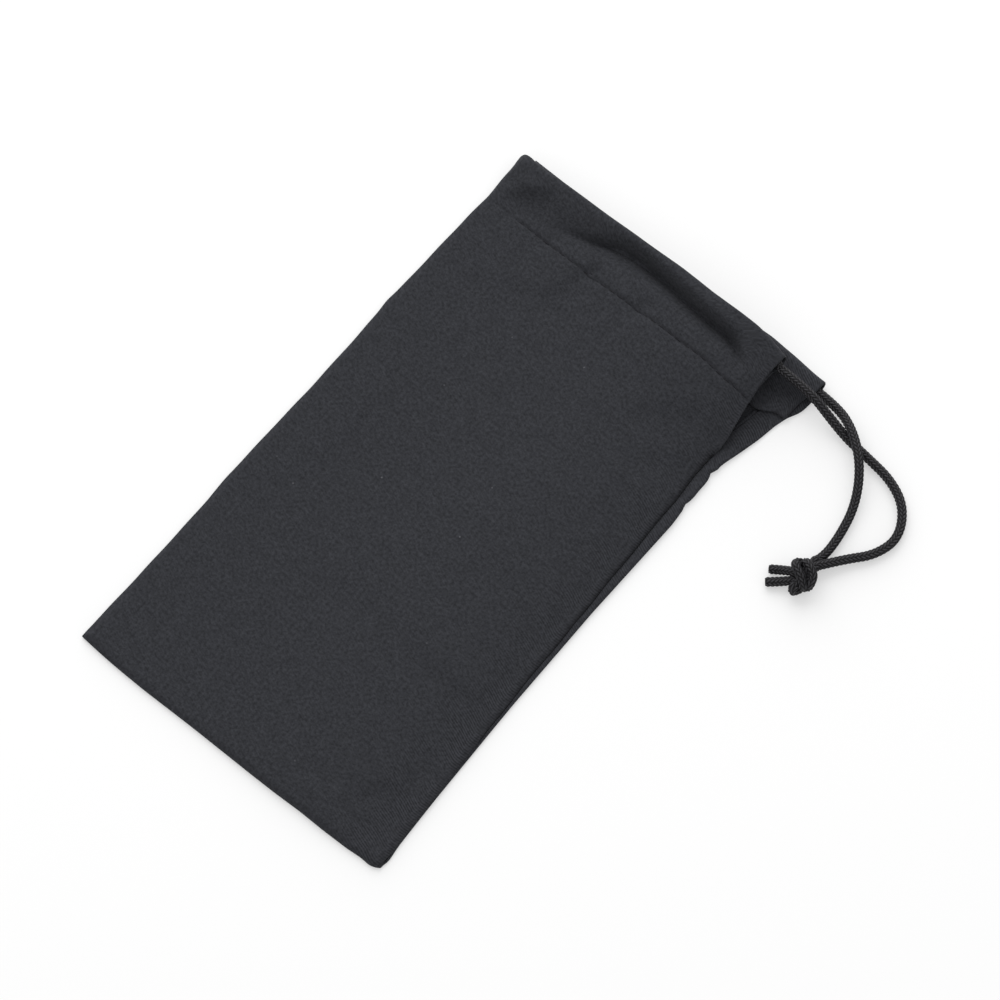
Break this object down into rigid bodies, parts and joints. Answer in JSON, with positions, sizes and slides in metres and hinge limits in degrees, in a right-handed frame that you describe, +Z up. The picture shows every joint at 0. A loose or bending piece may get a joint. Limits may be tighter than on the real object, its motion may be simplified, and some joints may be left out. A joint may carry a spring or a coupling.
{
  "type": "soft pouch glasses case",
  "caption": "Flat twill drawstring pouch for glasses: arched front panel, casing round the mouth, side slit and one knotted braided drawcord that pulls out to gather the mouth.",
  "frame": {"origin": "under the middle of the cloth, on the surface that the back panel lies on", "axes": "+Z up out of the front panel, +X across the pouch towards the side where the cord leaves, +Y along the pouch towards the mouth"},
  "size_m": [0.1431, 0.1764, 0.0119],
  "materials": {
    "twill": "charcoal black polyester twill, matt",
    "sewing_thread": "black polyester sewing thread",
    "braided_cord": "charcoal black braided polyester cord"
  },
  "bodies": {
    "pouch": {"back_panel": "twill", "front_panel": "twill", "back_casing": "twill", "front_casing": "twill", "side_allowance_back": "twill", "side_allowance_front": "twill", "bottom_allowance_back": "twill", "bottom_allowance_front": "twill", "slit_hem_front": "twill", "slit_hem_back": "twill", "front_casing_stitches": "sewing_thread", "back_casing_stitches": "sewing_thread", "side_seam_stitches": "sewing_thread", "bottom_seam_stitches": "sewing_thread", "side_overlock": "sewing_thread", "bottom_overlock": "sewing_thread", "slit_bartack": "sewing_thread"},
    "drawcord": {"cord_in_casing": "braided_cord", "cord_leg_front": "braided_cord", "cord_leg_back": "braided_cord", "cord_knot": "braided_cord", "cord_tail_front": "braided_cord", "cord_tail_back": "braided_cord"}
  },
  "joints": [
    {"name": "cord_pull", "type": "slide", "parent": "pouch", "child": "drawcord", "axis": [1, 0, 0], "range_m": [0, 0.05], "deforming": ["front_casing", "back_casing"]}
  ]
}
